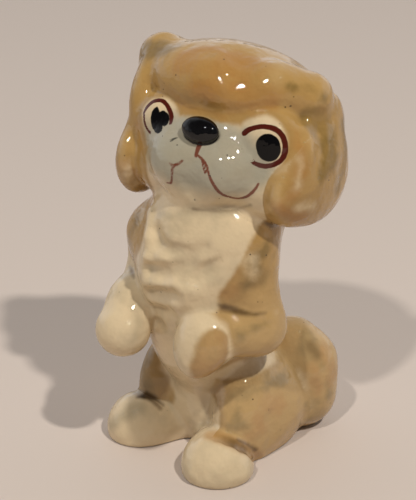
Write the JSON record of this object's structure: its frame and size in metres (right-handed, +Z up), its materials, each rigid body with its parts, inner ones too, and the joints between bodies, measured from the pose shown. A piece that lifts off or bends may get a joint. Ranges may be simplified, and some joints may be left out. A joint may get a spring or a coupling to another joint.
{
  "type": "dog figurine",
  "caption": "Glazed ceramic figurine of a long-eared dog sitting up and begging, head turned to one side, paws hanging in front, tail rising behind one haunch.",
  "frame": {"origin": "on the flat underside of the base, below the middle of the body", "axes": "+Z up, -Y the way the dog's body faces, +X its left side"},
  "size_m": [0.057, 0.0619, 0.1095],
  "materials": {
    "cream_glaze": "gloss glaze over cream",
    "tan_glaze": "gloss glaze over honey tan",
    "black_glaze": "gloss glaze over black"
  },
  "bodies": {
    "root": {"torso": "cream_glaze", "head": "tan_glaze", "left_ear": "tan_glaze", "right_ear": "tan_glaze", "nose": "black_glaze", "left_foreleg": "tan_glaze", "right_foreleg": "cream_glaze", "left_hind_foot": "cream_glaze", "right_hind_foot": "cream_glaze", "tail": "tan_glaze"}
  },
  "joints": []
}
